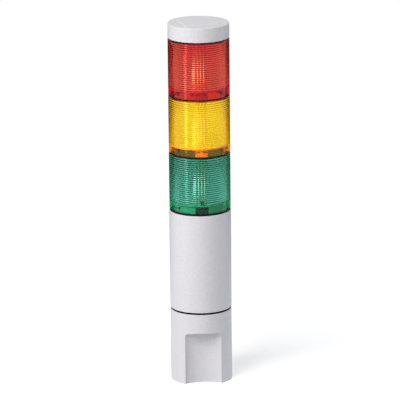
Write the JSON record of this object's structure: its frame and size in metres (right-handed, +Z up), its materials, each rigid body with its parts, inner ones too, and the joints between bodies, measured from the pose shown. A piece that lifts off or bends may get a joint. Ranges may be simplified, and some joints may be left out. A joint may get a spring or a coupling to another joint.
{
  "type": "stack light",
  "caption": "Round modular signal tower: foot with finger recesses, tall plain housing, ribbed lenses in three colours and a flat cap, each unit on a twist-lock bayonet.",
  "frame": {"origin": "centre of the foot's underside", "axes": "+Z up along the tower, -Y towards the recess in the front of the foot"},
  "size_m": [0.0708, 0.0706, 0.4195],
  "materials": {
    "white_shell": "fine satin moulded plastic, off-white",
    "seal_rubber": "matt black",
    "grommet_rubber": "matt black",
    "insert_brass": "turned, threaded",
    "green_lens": "transparent green, ring-ribbed inside, glossy outside",
    "amber_lens": "transparent amber, ring-ribbed inside, glossy outside",
    "red_lens": "transparent red, ring-ribbed inside, glossy outside",
    "carrier_plastic": "natural white moulding",
    "socket_plastic": "heat-resistant white moulding",
    "lamp_metal": "nickel-plated shell",
    "bulb_glass": "frosted",
    "black_plastic": "black moulding",
    "block_plastic": "natural amber moulding",
    "contact_brass": "rolled strip",
    "board_laminate": "green lacquered laminate",
    "capacitor_can": "sleeved can",
    "terminal_plastic": "green moulding",
    "screw_steel": "zinc-plated"
  },
  "bodies": {
    "base": {"base_shell": "white_shell", "cable_grommet": "grommet_rubber", "threaded_inserts": "insert_brass", "housing_seal": "seal_rubber"},
    "housing": {"housing": "white_shell", "housing_deck": "carrier_plastic", "circuit_board": "board_laminate", "board_capacitor": "capacitor_can", "terminal_block": "terminal_plastic", "terminal_screws": "screw_steel", "housing_contact_block": "black_plastic", "housing_conductors": "contact_brass", "green_seal": "seal_rubber"},
    "green": {"green_lens": "green_lens", "green_carrier": "carrier_plastic", "green_lamp_socket": "socket_plastic", "green_lamp_base": "lamp_metal", "green_lamp_bulb": "bulb_glass", "green_contact_block": "block_plastic", "green_conductors": "contact_brass", "amber_seal": "seal_rubber"},
    "amber": {"amber_lens": "amber_lens", "amber_carrier": "carrier_plastic", "amber_lamp_socket": "socket_plastic", "amber_lamp_base": "lamp_metal", "amber_lamp_bulb": "bulb_glass", "amber_contact_block": "block_plastic", "amber_conductors": "contact_brass", "red_seal": "seal_rubber"},
    "red": {"red_lens": "red_lens", "red_carrier": "carrier_plastic", "red_lamp_socket": "socket_plastic", "red_lamp_base": "lamp_metal", "red_lamp_bulb": "bulb_glass", "red_contact_block": "block_plastic", "red_conductors": "contact_brass", "cap_seal": "seal_rubber"},
    "cap": {"cap": "white_shell"}
  },
  "joints": [
    {"name": "housing_twist", "type": "hinge", "parent": "base", "child": "housing", "pos_m": [0, 0, 0.086], "axis": [0, 0, 1], "range_deg": [0, 22]},
    {"name": "green_twist", "type": "hinge", "parent": "housing", "child": "green", "pos_m": [0, 0, 0.2027], "axis": [0, 0, 1], "range_deg": [0, 22]},
    {"name": "amber_twist", "type": "hinge", "parent": "green", "child": "amber", "pos_m": [0, 0, 0.269], "axis": [0, 0, 1], "range_deg": [0, 22]},
    {"name": "red_twist", "type": "hinge", "parent": "amber", "child": "red", "pos_m": [0, 0, 0.3353], "axis": [0, 0, 1], "range_deg": [0, 22]},
    {"name": "cap_twist", "type": "hinge", "parent": "red", "child": "cap", "pos_m": [0, 0, 0.4016], "axis": [0, 0, 1], "range_deg": [0, 22]}
  ]
}
